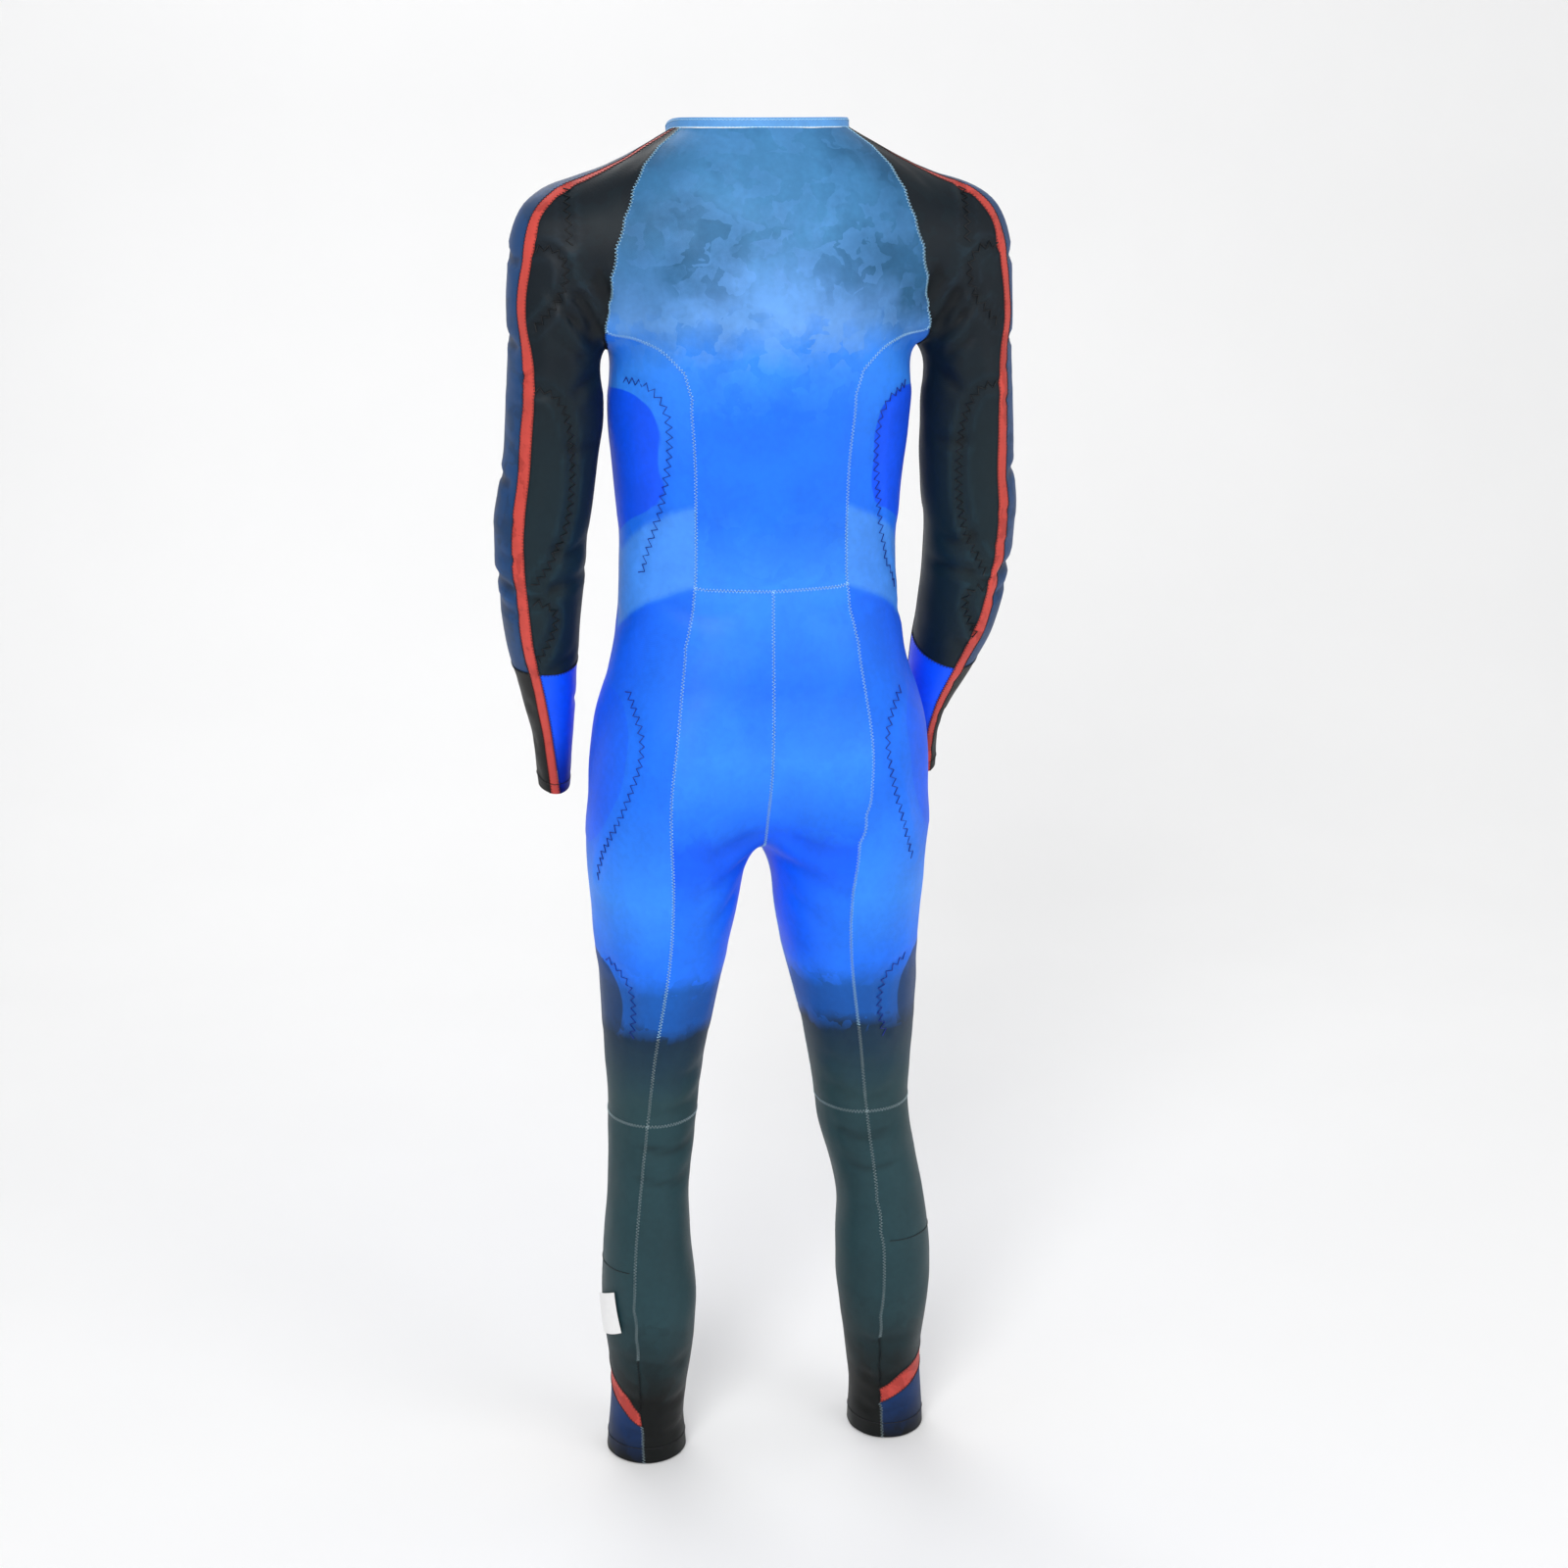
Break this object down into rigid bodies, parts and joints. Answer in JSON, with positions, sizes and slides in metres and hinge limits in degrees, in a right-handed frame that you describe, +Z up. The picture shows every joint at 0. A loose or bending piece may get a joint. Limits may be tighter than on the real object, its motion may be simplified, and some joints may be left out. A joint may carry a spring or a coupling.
{
  "type": "ski race suit",
  "caption": "Padded one-piece ski race suit with long sleeves, full legs, low collar and front zip, filled out as if worn.",
  "frame": {"origin": "middle of the neck opening, level with the back of the collar, where the wearer's neck holds the suit", "axes": "+Z up the wearer, -Y out of the wearer's chest, +X to the wearer's left"},
  "size_m": [0.5359, 0.251, 1.4053],
  "materials": {
    "back_cloth": "coated stretch knit, soft sheen",
    "body_cloth": "coated stretch knit, soft sheen",
    "calf_cloth": "coated stretch knit, soft sheen",
    "coral_cloth": "matt knit",
    "navy_cloth": "coated stretch knit, soft sheen",
    "black_cloth": "coated stretch knit, soft sheen",
    "collar_cloth": "soft knit band",
    "zip_metal": "satin",
    "label_white": "smooth bare transfer"
  },
  "bodies": {
    "suit": {"back": "back_cloth", "seat_left": "body_cloth", "seat_right": "body_cloth", "side_left": "body_cloth", "side_right": "body_cloth", "front_left": "body_cloth", "front_right": "body_cloth", "calf_inner_left": "calf_cloth", "calf_inner_right": "calf_cloth", "calf_outer_left": "calf_cloth", "calf_outer_right": "calf_cloth", "ankle_stripe_left": "coral_cloth", "ankle_stripe_right": "coral_cloth", "ankle_patch_left": "navy_cloth", "ankle_patch_right": "navy_cloth", "sleeve_back_left": "black_cloth", "sleeve_back_right": "black_cloth", "sleeve_front_left": "navy_cloth", "sleeve_front_right": "navy_cloth", "stripe_left": "coral_cloth", "stripe_right": "coral_cloth", "wrist_wedge_left": "body_cloth", "wrist_wedge_right": "body_cloth", "cuff_left": "black_cloth", "cuff_right": "black_cloth", "collar": "collar_cloth", "zip_tape": "navy_cloth", "zip_slider": "zip_metal", "label": "label_white"},
    "pull_tab": {"pull_tab": "zip_metal"}
  },
  "joints": [
    {"name": "tab_turn", "type": "hinge", "parent": "suit", "child": "pull_tab", "pos_m": [0, -0.10719, -0.07583], "axis": [-1, 0, 0], "range_deg": [0, 150]}
  ]
}
